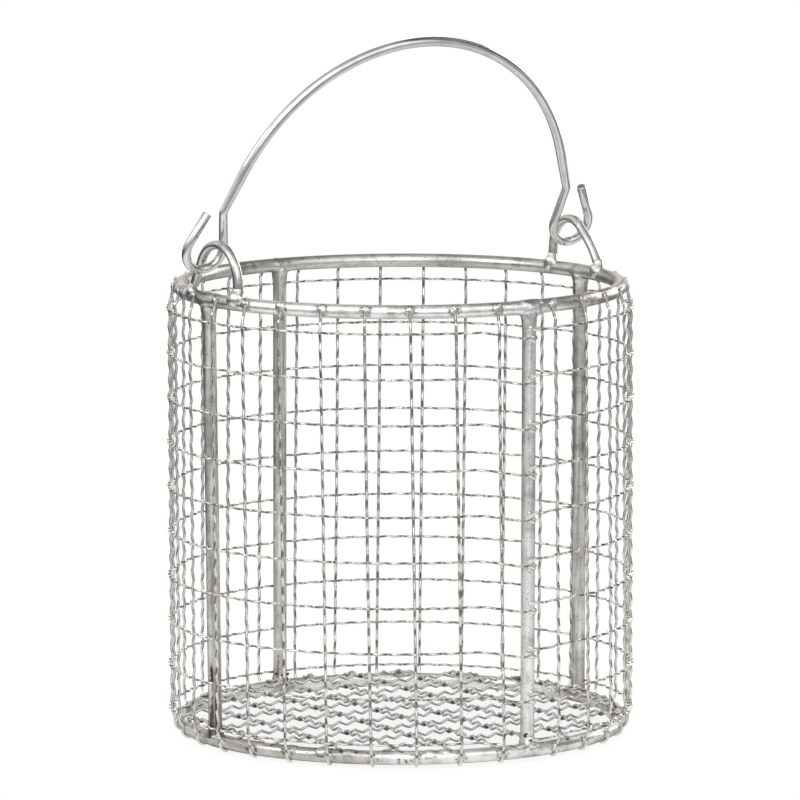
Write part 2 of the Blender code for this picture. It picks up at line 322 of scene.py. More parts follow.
def add_node(tree, kind, inputs=None, **settings):
    """A shader node with its settings, and inputs that are values or other nodes' outputs."""
    item = tree.nodes.new(kind)
    for key, value in settings.items():
        setattr(item, key, value)
    for key, value in (inputs or {}).items():
        if isinstance(value, bpy.types.NodeSocket):
            tree.links.new(value, item.inputs[key])
        else:
            item.inputs[key].default_value = value
    return item


def ramp(tree, factor, stops):
    """A colour ramp with its stops as (place, colour)."""
    item = add_node(tree, "ShaderNodeValToRGB", {"Fac": factor})
    elements = item.color_ramp.elements
    while len(elements) < len(stops):
        elements.new(0.5)
    for element, (place, colour) in zip(elements, stops):
        element.position = place
        element.color = (*colour, 1)
    return item.outputs["Color"]


def maths(tree, operation, first, second):
    """Result of an operation on two values."""
    return add_node(tree, "ShaderNodeMath", {0: first, 1: second}, operation=operation).outputs[0]


def dot(tree, place, toward):
    """Dot product of a place and a fixed direction."""
    return add_node(tree, "ShaderNodeVectorMath", {0: place, 1: toward},
                    operation="DOT_PRODUCT").outputs["Value"]


def remap(tree, value, start, end, low=0, high=1, curve="LINEAR"):
    """A value that goes from low to high as another goes from start to end."""
    return add_node(tree, "ShaderNodeMapRange", {
        "Value": value, "From Min": start, "From Max": end, "To Min": low, "To Max": high},
        interpolation_type=curve).outputs["Result"]


def grain_at(tree, place, scale, detail, roughness=0.5):
    """Noise at a place."""
    return add_node(tree, "ShaderNodeTexNoise", {
        "Vector": place, "Scale": scale, "Detail": detail, "Roughness": roughness}).outputs["Fac"]


def mix(tree, share, first, second):
    """Mix of two values."""
    return add_node(tree, "ShaderNodeMix", {0: share, 2: first, 3: second}, data_type="FLOAT").outputs[0]


def mix_colours(tree, share, first, second, blend="MIX"):
    """Mix of two colours."""
    return add_node(tree, "ShaderNodeMix", {0: share, 6: first, 7: second}, data_type="RGBA",
                    blend_type=blend).outputs[2]


def new_material(name):
    """A material with its node tree and its shader."""
    material = bpy.data.materials.new(name)
    material.use_nodes = True
    return material, material.node_tree, material.node_tree.nodes["Principled BSDF"]


def add_bump(tree, shader, strength, distance, height):
    """Raise and lower a shader's surface with a value."""
    bump = add_node(tree, "ShaderNodeBump", {"Strength": strength, "Distance": distance, "Height": height})
    tree.links.new(bump.outputs["Normal"], shader.inputs["Normal"])


# Colours that multiply the steel's by its heat stain and painted shade: on the rod and on the wire, then by
# the noise all over the rod. Last, the colour of fused metal.
STAIN_TINTS = [(0.0, (1, 1, 1)), (0.25, (0.77, 0.765, 0.755)), (0.5, (0.5, 0.487, 0.47)),
               (0.72, (0.33, 0.27, 0.23)), (1.0, (0.07, 0.06, 0.055))]
MARK_TINTS = [(0.0, (1, 1, 1)), (0.4, (0.6, 0.59, 0.57)), (0.8, (0.24, 0.235, 0.225)),
              (1.0, (0.14, 0.135, 0.13))]
BLOTCH_TINTS = [(0.36, (0.62, 0.615, 0.6)), (0.43, (0.9, 0.895, 0.885)), (0.49, (1, 1, 1))]
PIT_TINTS = [(0.3, (0.45, 0.45, 0.44)), (0.37, (1, 1, 1))]
FUSED_METAL = (1.0, 0.99, 0.97, 1)


def make_steel(name, dark, middle, light, roughness, grain, streak, bump, edge=0.78, stained=False):
    """Stainless wire: drawn streaks along it, mottled oxide, small bright rubs, uneven gloss, and the heat
    stain and painted shade that its pieces carry.

    grain and streak are how fine its mottle and its streaks are. edge is how much light the steel
    reflects where it turns away from the eye.
    """
    material, tree, shader = new_material(name)
    place = add_node(tree, "ShaderNodeTexCoord").outputs
    mottle = grain_at(tree, place["Object"], grain, 5, 0.6)
    along = add_node(tree, "ShaderNodeMapping", {"Vector": place["UV"], "Scale": (9, streak, 1)})
    streaks = grain_at(tree, along.outputs["Vector"], 1.6, 4, 0.55)
    shade = remap(tree, mix(tree, 0.65, mottle, streaks), 0.37, 0.63)
    colour = ramp(tree, shade, [(0.0, dark), (0.5, middle), (1.0, light)])
    # Heat stain and painted shade from the pieces, broken up by the streaks
    worn = add_node(tree, "ShaderNodeAttribute", attribute_name="wear").outputs["Fac"]
    worn = maths(tree, "MULTIPLY", worn, remap(tree, streaks, 0.35, 0.65, 0.35, 1.45))
    tint = ramp(tree, worn, STAIN_TINTS if stained else MARK_TINTS)
    if stained:
        blotches = ramp(tree, grain_at(tree, place["Object"], 62, 7, 0.72), BLOTCH_TINTS)
        pits = ramp(tree, grain_at(tree, place["Object"], 900, 2, 0.6), PIT_TINTS)
        for layer in (blotches, pits):
            tint = mix_colours(tree, 1.0, tint, layer, "MULTIPLY")
    weld = add_node(tree, "ShaderNodeAttribute", attribute_name="weld").outputs["Fac"]
    fused = maths(tree, "MULTIPLY", weld, remap(tree, mottle, 0.35, 0.6, 0.35, 1.0))
    colour = mix_colours(tree, fused, colour, FUSED_METAL)
    tree.links.new(mix_colours(tree, 1.0, colour, tint, "MULTIPLY"), shader.inputs["Base Color"])
    gloss = remap(tree, mottle, 0.3, 0.7, roughness - 0.06, roughness + 0.1)
    tree.links.new(gloss, shader.inputs["Roughness"])
    relief = maths(tree, "ADD", grain_at(tree, place["Object"], grain * 3.2, 3), streaks)
    add_bump(tree, shader, bump, 0.0003, relief)
    shader.inputs["Metallic"].default_value = 1
    shader.inputs["Specular Tint"].default_value = (edge, edge - 0.01, edge - 0.02, 1)
    return material


ROD_STEEL = make_steel(
    "pickled_rod", (0.65, 0.64, 0.61), (0.98, 0.97, 0.935), (1.0, 0.99, 0.965), 0.31, 150, 14, 0.3,
    edge=0.3, stained=True)
MESH_STEEL = make_steel(
    "woven_wire", (0.44, 0.43, 0.405), (0.88, 0.87, 0.83), (1.0, 0.99, 0.95), 0.14, 420, 150, 0.28, edge=0.88)
EAR_STEEL = make_steel(
    "ear_wire", (0.46, 0.45, 0.43), (0.64, 0.63, 0.61), (0.82, 0.81, 0.8), 0.22, 160, 12, 0.15)
BAIL_STEEL = make_steel(
    "bail_wire", (0.52, 0.51, 0.49), (0.7, 0.69, 0.67), (0.88, 0.87, 0.86), 0.12, 120, 8, 0.1)
WELD_STEEL = make_steel(
    "weld_metal", (0.4, 0.39, 0.365), (0.68, 0.67, 0.64), (0.92, 0.91, 0.885), 0.22, 420, 60, 0.42)


def make_soot():
    """Near-black painted shade in the pits and holes of the welds."""
    material, tree, shader = new_material("pit_shade")
    scale = grain_at(tree, add_node(tree, "ShaderNodeTexCoord").outputs["Object"], 1500, 3)
    colour = ramp(tree, scale, [(0.35, (0.015, 0.013, 0.011)), (0.65, (0.09, 0.08, 0.07))])
    tree.links.new(colour, shader.inputs["Base Color"])
    add_bump(tree, shader, 0.6, 0.0002, scale)
    shader.inputs["Metallic"].default_value = 0.4
    shader.inputs["Roughness"].default_value = 0.55
    return material


SOOT = make_soot()


def finish_piece(obj, slot, *nodes, body="basket"):
    """Let a piece stand for its solids and ride on its body. Its slot is not used."""
    if nodes:
        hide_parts(*nodes)
    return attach(obj, body)


def tint_at(point, spots):
    """Heat tint at a point: the strongest of the spots, each (centre, reach, depth)."""
    wobble = 1 + 0.35 * noise.noise(point * 160)
    best = 0
    for centre, reach, depth in spots:
        distance = (point - centre).length
        best = max(best, depth * (1 - smoothstep(0.25, 1, distance / reach * wobble)))
    return best


def make_ring(name, node, height, up, uprights, warp_lift, tints, welds, dull):
    """A hoop of round rod with painted shade, as deep as given, that darkens it towards the back, heat tints,
    and weld metal at its joints and welds.
    """
    joints = []
    for degrees, side in itertools.product(uprights, (-1, 1)):
        centre = around(RING_RADIUS + side * ROD * 0.36, math.radians(degrees), height + up * ROD * 0.36)
        joints.append((centre, 0.0052, 0.00055, 0.3))
    for warp in range(WARPS):
        centre = wall_point(RING_RADIUS + ROD / 2, warp_run(warp, height), height + warp_lift)
        joints.append((centre, 0.0025, 0.0001, 0.75))
    for degrees, out, rise, reach, lump, darkening in welds:
        centre = around(RING_RADIUS + out, math.radians(degrees), height + rise)
        joints.append((centre, reach, lump, darkening))
    spots = [(around(RING_RADIUS, math.radians(degrees), height), *spot) for degrees, *spot in tints]
    steps = 600
    path = [around(RING_RADIUS, 2 * math.pi * i / steps, height) for i in range(steps)]
    # Heat tints, and painted shade that darkens the ring towards the back
    wear = [max(tint_at(p, spots), dull * smoothstep(-0.2, 0.6, p.dot(AWAY) / RING_RADIUS)) for p in path]
    ring = tube(name, path, (RING_STOUT / 2,) * 2, (0, 0, 1), 24, ROD_STEEL, closed=True, wear=wear)
    swell(ring, joints)
    return finish_piece(ring, "frame_rod", node)


def stain_foot(obj, foot, depth, reach):
    """Heat stain that licks up a rod from its foot in flames."""
    worn = obj.data.attributes["wear"].data
    for index, vertex in enumerate(obj.data.vertices):
        climb = vertex.co.z - foot.z
        if climb > reach * 1.6:
            continue
        licks = noise.noise(vertex.co * Vector((330, 330, 70)))
        flame = climb / reach + 0.75 * licks + 0.2 * noise.noise(vertex.co * 900)
        share = 1 - smoothstep(0.35, 0.95, flame)
        worn[index].value = max(worn[index].value, depth * share)


def streak_rod(obj, foot, head):
    """Vary an upright's painted shade, and the tint near its welds, in long streaks down it."""
    worn = obj.data.attributes["wear"].data
    for index, vertex in enumerate(obj.data.vertices):
        share = (vertex.co.z - foot.z) / (head.z - foot.z)
        aside = (vertex.co - foot.lerp(head, share)) / (ROD / 2)
        place = Vector((aside.x * 1.9, aside.y * 1.9, vertex.co.z * 24)) + foot * 90
        spots = noise.noise(vertex.co * 260)
        streaked = worn[index].value * max(0, 1 + 2.6 * noise.noise(place) + 0.9 * spots)
        worn[index].value = min(streaked, STREAK_LIMIT)


def make_upright(number, stain, reach, dull):
    """A rod butt-welded between the rings, with a weld neck at each end, heat stain above its foot, and
    painted shade in long streaks down it.
    """
    foot = around(RING_RADIUS, math.radians(UPRIGHT_FEET[number]), BOTTOM_RING_Z + 0.001)
    head = around(RING_RADIUS, math.radians(UPRIGHT_HEADS[number]), TOP_RING_Z - 0.001)
    length = (head - foot).length
    # Close together at the welds and over the heat stain
    steps = [0, 0.0012, 0.0022, 0.003, 0.004, 0.0052, 0.0066, 0.008, 0.0094, 0.0108, 0.0124]
    steps += [0.014 + 0.001 * i for i in range(26)]
    steps += [length * i / 48 for i in range(11, 45)]
    steps += [length - s for s in reversed(steps[:11])]
    path, sizes, wear = [], [], []
    for step in steps:
        from_ring = min(step, length - step) - 0.002
        flare = 0.0008 * math.exp(-max(0, from_ring) / 0.0017)
        point = foot.lerp(head, step / length)
        lump = 1 + 0.12 * noise.noise(point * 420) * math.exp(-max(0, from_ring) / 0.004)
        path.append(point)
        sizes.append(((ROD / 2 + flare) * lump, (ROD / 2 + flare * 0.75) * lump))
        # Painted shade down the rod, and heat tint near the rings
        wear.append(max(dull, 0.2 * math.exp(-max(0, from_ring - 0.002) / 0.006)))
    side = Vector((-head.y, head.x, 0))
    upright = tube(f"upright_rod_{number + 1}", path, sizes, side, 20, ROD_STEEL, wear=wear)
    streak_rod(upright, foot, head)
    neck = Vector((0, 0, 0.0035))
    swell(upright, [(head - neck + side.normalized() * 0.001, 0.006, 0.00022, 0.25),
                    (head - neck - side.normalized() * 0.0016, 0.0048, 0.00018, 0.25),
                    (foot + neck, 0.0034, 0.00022, 0.25)])
    stain_foot(upright, foot, stain, reach)
    return finish_piece(upright, "frame_rod", f"upright_{number + 1}")


def wall_point(radius, run, height):
    """A place on the wall at a run from the seam."""
    return around(radius, SEAM_ANGLE + run / WALL_RADIUS, height)


def warp_run(warp, height):
    """Run of a warp wire at a height."""
    return FIRST_WARP + warp * WARP_PITCH + (TOP_RING_Z - height) * MESH_SKEW


WEFT_START_DROPS = [random.Random(200 + weft).uniform(0.0006, 0.0022) for weft in range(WEFTS)]


def weft_height(weft, run):
    """Height of a weft wire, whose ends are welded a little low."""
    level = TOP_RING_Z - FIRST_WEFT - weft * WEFT_PITCH
    start = WEFT_START_DROPS[weft] * (1 - smoothstep(0, 0.018, run))
    return level - start - WEFT_SAG * smoothstep(WALL_LENGTH - WEFT_SAG_RUN, WALL_LENGTH, run)


def wall_wire(name, stops, side, node):
    """A woven wire of the wall, from rows of point, section and painted shade, which lies most on the faces
    that look in and out.
    """
    path, sizes, wear = zip(*stops)
    wear = np.outer([wear[0], *wear, wear[-1]], RADIAL_FACES)
    wire = tube(name, *rounded_ends(path, sizes, MESH_CHAMFER), side, MESH_SIDES, MESH_STEEL, wear=wear)
    return finish_piece(wire, "mesh_wire", node)


def make_warp(warp):
    """A standing wall wire: tip welded to the top ring, crimped waves, hem round the bottom ring."""
    seat = RING_RADIUS + ROD / 2 + 0.0005
    hem = ROD / 2 + 0.0006
    top = TOP_RING_Z + WARP_TIP_RISE
    sign = -1 if warp % 2 == 0 else 1
    last = (TOP_RING_Z - FIRST_WEFT - BOTTOM_RING_Z - 0.0012) / WEFT_PITCH
    chance = random.Random(warp)
    stops = []
    for down, *section in WARP_TIP:
        stops.append((wall_point(seat, warp_run(warp, top - down), top - down), section, 0.15))
    lean = chance.uniform(-0.0003, 0.0003)
    for place in wave_places(-FIRST_WEFT / WEFT_PITCH, last):
        height = TOP_RING_Z - FIRST_WEFT - place * WEFT_PITCH
        if height > top - WARP_TIP_LENGTH:
            continue
        free = smoothstep(0.0028, 0.0058, TOP_RING_Z - height)
        free *= smoothstep(0.0012, 0.005, height - BOTTOM_RING_Z)
        radius = seat + (WALL_RADIUS + sign * WARP_CRIMP * crest(place) - seat) * free
        sway = lean * math.sin(math.pi * place / last)
        # Painted shade where it crosses a weft and painted dark reflection on one flank of each wave, with a
        # little random tone
        mark = max(crossing_mark(place, WEFT_PITCH, sign), flank_mark(place, 1)) + chance.uniform(0, 0.15)
        stops.append((wall_point(radius, warp_run(warp, height) + sway, height), WARP_SECTION, mark))
    run = warp_run(warp, BOTTOM_RING_Z)
    for step in range(HEM_STEPS + 1):
        turn = HEM_TURN * step / HEM_STEPS
        point = wall_point(RING_RADIUS + hem * math.cos(turn), run, BOTTOM_RING_Z - hem * math.sin(turn))
        stops.append((point, HEM_SECTION, 0.1))
    side = wall_point(1, run + math.pi / 2 * WALL_RADIUS, 0)
    return wall_wire(f"warp_wire_{warp + 1:02d}", stops, side, f"wall_warp_{warp + 1:02d}")


def seat_on_upright(run):
    """Radius at which a flattened wire lies on the seam upright, at a run from its middle."""
    return RING_RADIUS + math.sqrt((ROD / 2 + 0.0002) ** 2 - min(abs(run), ROD / 2) ** 2 * 0.55)


def make_weft(weft):
    """A running wall wire: crimped waves round the wall, both ends pressed on to the seam upright."""
    seat = RING_RADIUS + ROD / 2 + 0.0004
    level = TOP_RING_Z - FIRST_WEFT - weft * WEFT_PITCH
    sign = 1 if weft % 2 == 0 else -1
    offset = FIRST_WARP + (TOP_RING_Z - level) * MESH_SKEW
    chance = random.Random(100 + weft)
    stops = []
    tilt = chance.uniform(-0.45, 0.35)
    for run, *section in WEFT_START:
        height = weft_height(weft, PRESSED_RUN) + tilt * (run - PRESSED_RUN)
        stops.append((wall_point(seat_on_upright(run), run, height), section, 0.0))
    first = (PRESSED_TO - offset) / WARP_PITCH
    last = (WALL_LENGTH - PRESSED_TO - offset) / WARP_PITCH
    for place in wave_places(first, last):
        run = offset + place * WARP_PITCH
        free = smoothstep(0.002, 0.007, run) * smoothstep(0.002, 0.007, WALL_LENGTH - run)
        radius = seat + (WALL_RADIUS + sign * WEFT_CRIMP * crest(place) - seat) * free
        # Painted shade where it crosses a warp and painted dark reflection round each outward crest, left out
        # at random, with random tone
        mark = max(crossing_mark(place, WARP_PITCH, sign), flank_mark(place, 0))
        missed = chance.random() < 0.25
        mark = 0.1 if missed else mark + chance.uniform(0, 0.35)
        stops.append((wall_point(radius, run, weft_height(weft, run)), WEFT_SECTION, mark))
    tilt = chance.uniform(-0.45, 0.05)
    for run, *section in WEFT_END:
        height = weft_height(weft, WALL_LENGTH + run) + tilt * (run + PRESSED_RUN)
        stops.append((wall_point(seat_on_upright(run), WALL_LENGTH + run, height), section, 0.0))
    return wall_wire(f"weft_wire_{weft + 1:02d}", stops, (0, 0, 1), f"wall_weft_{weft + 1:02d}")


def base_end(offset, way, family):
    """How far a base wire runs from its middle, stopping short of an upright in its path."""
    reach = math.sqrt(BASE_REACH ** 2 - offset ** 2)
    clear = ROD / 2 + WIRE / 2
    for degrees in UPRIGHT_FEET:
        angle = math.radians(degrees) - BASE_TURN
        foot = (RING_RADIUS * math.cos(angle), RING_RADIUS * math.sin(angle))
        along = foot[family] * way
        aside = abs(foot[1 - family] - offset)
        if along > 0 and aside < clear:
            reach = min(reach, along - math.sqrt(clear ** 2 - aside ** 2))
    return reach * way


def make_base_family(family):
    """Base wires that run along X (family 0) or along Y (family 1) of the weave, each a piece."""
    shift, crossed = BASE_SHIFTS[1 - family], BASE_SHIFTS[family]
    edge = RING_RADIUS - ROD / 2
    seat = BOTTOM_RING_Z + ROD / 2 + 0.0004
    cos, sin = math.cos(BASE_TURN), math.sin(BASE_TURN)
    side = (-sin, cos, 0) if family == 0 else (cos, sin, 0)
    # Painted shade on the undersides of the base wires
    below = np.clip(0.2 + 1.2 * np.sin(MESH_TURNS) * (-1 if family == 0 else 1), 0, 1)
    pieces = []
    for line in range(math.ceil((-edge - shift) / BASE_PITCH), math.floor((edge - shift) / BASE_PITCH) + 1):
        offset = shift + line * BASE_PITCH
        near, far = base_end(offset, -1, family), base_end(offset, 1, family)
        sign = 1 if (line + family) % 2 == 0 else -1
        chance = random.Random(300 + line + 50 * family)
        stops = [(near, seat, 0.1), (near + 0.0015, seat, 0.1)]
        for place in wave_places((near + 0.002 - crossed) / BASE_PITCH, (far - 0.002 - crossed) / BASE_PITCH):
            along = crossed + place * BASE_PITCH
            free = smoothstep(0.0015, 0.006, min(along - near, far - along))
            height = BASE_Z + sign * BASE_CRIMP * crest(place)
            # Painted shade where the wire crosses another, with a little random tone
            wear = crossing_mark(place, BASE_PITCH, sign, 0.9, 0.2, 0.0024) + chance.uniform(0, 0.12)
            stops.append((along, seat + (height - seat) * free, wear))
        stops += [(far - 0.0015, seat, 0.1), (far, seat, 0.1)]
        path = []
        for along, height, _ in stops:
            x, y = (along, offset) if family == 0 else (offset, along)
            path.append(Vector((x * cos - y * sin, x * sin + y * cos, height)))
        path, sizes = rounded_ends(path, [BASE_SECTION] * len(path), MESH_CHAMFER)
        wear = np.array([0.1, *(stop[2] for stop in stops), 0.1])
        wear = np.clip(wear[:, None] + below, 0, 1)
        pieces.append(tube("base_wire", path, sizes, side, MESH_SIDES, MESH_STEEL, wear=wear))
    return pieces


def join(name, objects):
    """Join meshes into the first of them."""
    for obj in bpy.context.selected_objects:
        obj.select_set(False)
    for obj in objects:
        obj.select_set(True)
    bpy.context.view_layer.objects.active = objects[0]
    bpy.ops.object.join()
    objects[0].name = name
    objects[0].data.name = name
    return objects[0]


def arc(centre, radius, start, end, steps):
    """Points in a plane along an arc, both ends included."""
    angles = [start + (end - start) * i / steps for i in range(steps + 1)]
    return [Vector((centre[0] + radius * math.cos(a), centre[1] + radius * math.sin(a))) for a in angles]


def tangent_angle(point, centre, radius, side):
    """Angle on a circle where a straight run from a point outside meets it, on one side."""
    away = Vector(point) - Vector(centre)
    return math.atan2(away.y, away.x) + side * math.acos(radius / away.length)


def fillet(before, corner, after, radius, steps):
    """Points that round off the corner between two straight runs in a plane."""
    back = (before - corner).normalized()
    ahead = (after - corner).normalized()
    half = back.angle(ahead) / 2
    centre = corner + (back + ahead).normalized() * radius / math.sin(half)
    start = corner + back * radius / math.tan(half) - centre
    end = corner + ahead * radius / math.tan(half) - centre
    first = math.atan2(start.y, start.x)
    return arc(centre, radius, first, first - start.angle_signed(end), steps)


def ear_feet_x():
    """Distance of the ears' feet from the middle, on the ring's crown."""
    furthest = abs(EAR_SHIFT) + EAR_SPREAD / 2
    return math.sqrt(RING_RADIUS ** 2 - furthest ** 2)


def make_ear(name, node, way, bend, rise, skew, bow, leg):
    """A bent wire ear that stands on the top ring. Its near leg is bowed by bow, and as thick as leg."""
    foot_z = TOP_RING_Z + ROD / 2 - 0.0008
    centre = Vector((EAR_SHIFT + skew, TOP_RING_Z + rise - bend))
    ends = [Vector((EAR_SHIFT + way_y * EAR_SPREAD / 2, foot_z)) for way_y in (1, -1)]
    stubs = [end + Vector((0, 0.002)) for end in ends]
    start = tangent_angle(stubs[0], centre, bend, 1)
    end = tangent_angle(stubs[1], centre, bend, -1)
    if end < start:
        end += 2 * math.pi
    curve = arc(centre, bend, start, end, 40)
    drop = stubs[1] - curve[-1]
    outer = Vector((drop.y, -drop.x)).normalized()
    bowed = [curve[-1] + drop * i / 10 + outer * bow * math.sin(math.pi * i / 10) for i in range(1, 10)]
    flat = [ends[0], stubs[0], *curve, *bowed, stubs[1], ends[1]]
    path = []
    for y, z in flat:
        lean = EAR_TOP_LEAN * (z - foot_z) / (TOP_RING_Z + rise - foot_z)
        path.append(Vector((way * (ear_feet_x() + lean), y, z)))
    wear = [0.25 * (1 - smoothstep(0.002, 0.008, p.z - foot_z)) for p in path]
    widths = [EAR_STOUT + (leg - EAR_STOUT) * smoothstep(*EAR_LEG_SWELLS, EAR_SHIFT - p.y) for p in path]
    ear = tube(name, path, [(w / 2, w / 2) for w in widths], (1, 0, 0), 20, EAR_STEEL, wear=wear)
    return finish_piece(ear, "ear_wire", node)


def bail_kink():
    """The sharp corner between the bow and the hook, in the bail's plane."""
    end = Vector((0, BOW_CENTRE_RISE)) + Vector((math.cos(BOW_END), math.sin(BOW_END))) * BOW_RADIUS
    return end + Vector((math.sin(BOW_END), -math.cos(BOW_END))) * FLARE_LENGTH


def bail_side():
    """Half of the bail in its own plane, from the top of the bow to the cut end of the hook."""
    bow = arc((0, BOW_CENTRE_RISE), BOW_RADIUS, math.pi / 2, BOW_END, 40)
    kink = bail_kink()
    hook_centre = Vector((HOOK_CENTRE_X, HOOK_RADIUS))
    start = tangent_angle(kink, hook_centre, HOOK_RADIUS, 1)
    hook = arc(hook_centre, HOOK_RADIUS, start, 2 * math.pi + TAIL_LEAN, 32)
    tail = hook[-1] + Vector((-math.sin(TAIL_LEAN), math.cos(TAIL_LEAN))) * TAIL_LENGTH
    return [*bow, *fillet(bow[-1], kink, hook[0], KINK_RADIUS, 6), *hook, tail]


def make_bail():
    """The bail: bow, kinks and hooks, in one wire."""
    side = bail_side()
    lean = Matrix.Rotation(BAIL_LEAN, 3, "X")
    flat = [(-x, z) for x, z in reversed(side[1:])] + [(x, z) for x, z in side]
    path = [BAIL_AXIS + lean @ Vector((x, 0, z)) for x, z in flat]
    kink = bail_kink()
    sizes = []
    for x, z in flat:
        pinch = 1 - smoothstep(0.0015, 0.006, (Vector((abs(x), z)) - kink).length)
        stout = HOOK_STOUT + (BOW_STOUT - HOOK_STOUT) * smoothstep(*BOW_SWELLS, z - kink.y)
        sizes.append([stout / 2 * (1 - share * pinch) for share in KINK_PINCH])
    path, sizes = rounded_ends(path, sizes, BAIL_CHAMFER)
    bail = tube("bail_wire", path, sizes, lean @ Vector((0, 1, 0)), 20, BAIL_STEEL)
    return finish_piece(bail, "bail_wire", "bail", body="bail")


# The skirt at an ear's foot, downwards: height over the ring's middle, way outwards, half width, half
# thickness. Then their share of that, which is larger on the near left foot
EAR_SKIRT = [
    (0.0069, 0, 0.00206, 0.00206), (0.0064, 0, 0.00225, 0.00222), (0.0056, 0, 0.0025, 0.0024),
    (0.0046, 0.0002, 0.0029, 0.0027), (0.0036, 0.0005, 0.0035, 0.0031), (0.0026, 0.0009, 0.0041, 0.0032),
    (0.0016, 0.0013, 0.0044, 0.0031), (0.0006, 0.0016, 0.0042, 0.0026), (-0.0004, 0.0016, 0.0034, 0.0019),
    (-0.0012, 0.0012, 0.002, 0.001)]
SKIRT_STOUT = 0.92
LEFT_SKIRT_STOUT = 1.17


def make_ear_welds():
    """A lumpy skirt of weld metal round each foot of the ears, flowing down the ring's outer face."""
    skirts = []
    for way, way_y in itertools.product((-1, 1), repeat=2):
        foot = Vector((way * ear_feet_x(), EAR_SHIFT + way_y * EAR_SPREAD / 2, TOP_RING_Z))
        outward = Vector((foot.x, foot.y, 0)).normalized()
        along = Vector((-outward.y, outward.x, 0)) * -way
        drift = random.Random(f"{way} {way_y}").uniform(-0.0006, 0.0006)
        stout = LEFT_SKIRT_STOUT if way == way_y == -1 else SKIRT_STOUT
        path, sizes = [], []
        for height, out, wide, thick in EAR_SKIRT:
            aside = along * drift * (0.007 - height) / 0.005
            path.append(foot - outward * out * way + aside + Vector((0, 0, height)))
            sizes.append((wide * stout, thick * stout))
        skirt = tube("skirt", path, sizes, along, 28, WELD_STEEL)
        for vertex in skirt.data.vertices:
            swollen = smoothstep(0.0068, 0.005, vertex.co.z - TOP_RING_Z)
            lump = noise.noise(vertex.co * 330 + foot * 90) * 0.00075 + noise.noise(vertex.co * 900) * 0.00028
            vertex.co += vertex.normal * lump * swollen
        skirts.append(skirt)
    return finish_piece(join("ear_welds", skirts), "ear_wire")


def seam_foot_face(height, out, aside):
    """A place on the seam upright's near face, a little proud of it and to one side."""
    middle = around(RING_RADIUS, math.radians(UPRIGHT_FEET[3]), height)
    return middle - AWAY * (ROD / 2 + out) + RIGHT * aside


def make_frame_welds():
    """Small beads in the corners where the uprights meet the rings."""
    places = []
    for number in range(4):
        for degrees, height, up in (
            (UPRIGHT_HEADS[number], TOP_RING_Z, -1),
            (UPRIGHT_FEET[number], BOTTOM_RING_Z, 1),
        ):
            chance = random.Random(700 + number * 2 + up)
            for turn in (-1.95, -0.9, 0.2, 1.1, 2.0):
                theta = math.radians(degrees + turn + chance.uniform(-0.2, 0.2))
                out = chance.uniform(-0.0004, 0.001)
                rise = 0.003 - 0.0002 * abs(turn) + chance.uniform(-0.0003, 0.0003)
                centre = around(RING_RADIUS + out, theta, height + up * rise)
                size = chance.uniform(0.8, 1.1)
                half = (0.0013 * size, 0.0024 * size, 0.0009 * size)
                places.append((centre, ring_axes(theta), half, number * 7 + turn, 0.3))
    ball = seam_foot_face(0.0118, 0.0004, 0.0003)
    places.append((ball, columns(RIGHT, -AWAY), (0.0007, 0.0006, 0.0007), 31, 0.3))
    return finish_piece(blobs("frame_welds", places, WELD_STEEL), "frame_rod")


def make_mesh_welds():
    """Small spots that hold the warps to both rings and the wefts to the seam upright."""
    places = []
    outside = RING_RADIUS + ROD / 2
    for warp in range(WARPS):
        chance = random.Random(500 + warp)
        size = chance.uniform(0.85, 1.15)
        run = warp_run(warp, TOP_RING_Z)
        centre = wall_point(outside + 0.0003, run + chance.uniform(-0.0003, 0.0003), TOP_RING_Z + 0.0009)
        places.append((centre, wall_axes(run), (0.0019 * size, 0.0015 * size, 0.0008), warp, 0.55))
        run = warp_run(warp, BOTTOM_RING_Z)
        centre = wall_point(outside, run, BOTTOM_RING_Z + 0.0002)
        places.append((centre, wall_axes(run), (0.0015, 0.0019, 0.0006), warp + 40, 0.35))
    for weft in range(WEFTS):
        chance = random.Random(600 + weft)
        for end, run in ((0.0, -0.0008), (WALL_LENGTH, 0.001)):
            axes = wall_axes(run, chance.uniform(-0.4, 0.4))
            centre = wall_point(seat_on_upright(run) - 0.0001, run, weft_height(weft, end))
            size = chance.uniform(0.8, 1.2)
            half = (0.0017 * size, 0.001 * size, 0.0005)
            places.append((centre, axes, half, weft + 80 + run * 900, 0.4))
    return finish_piece(blobs("mesh_welds", places, WELD_STEEL), "mesh_wire")


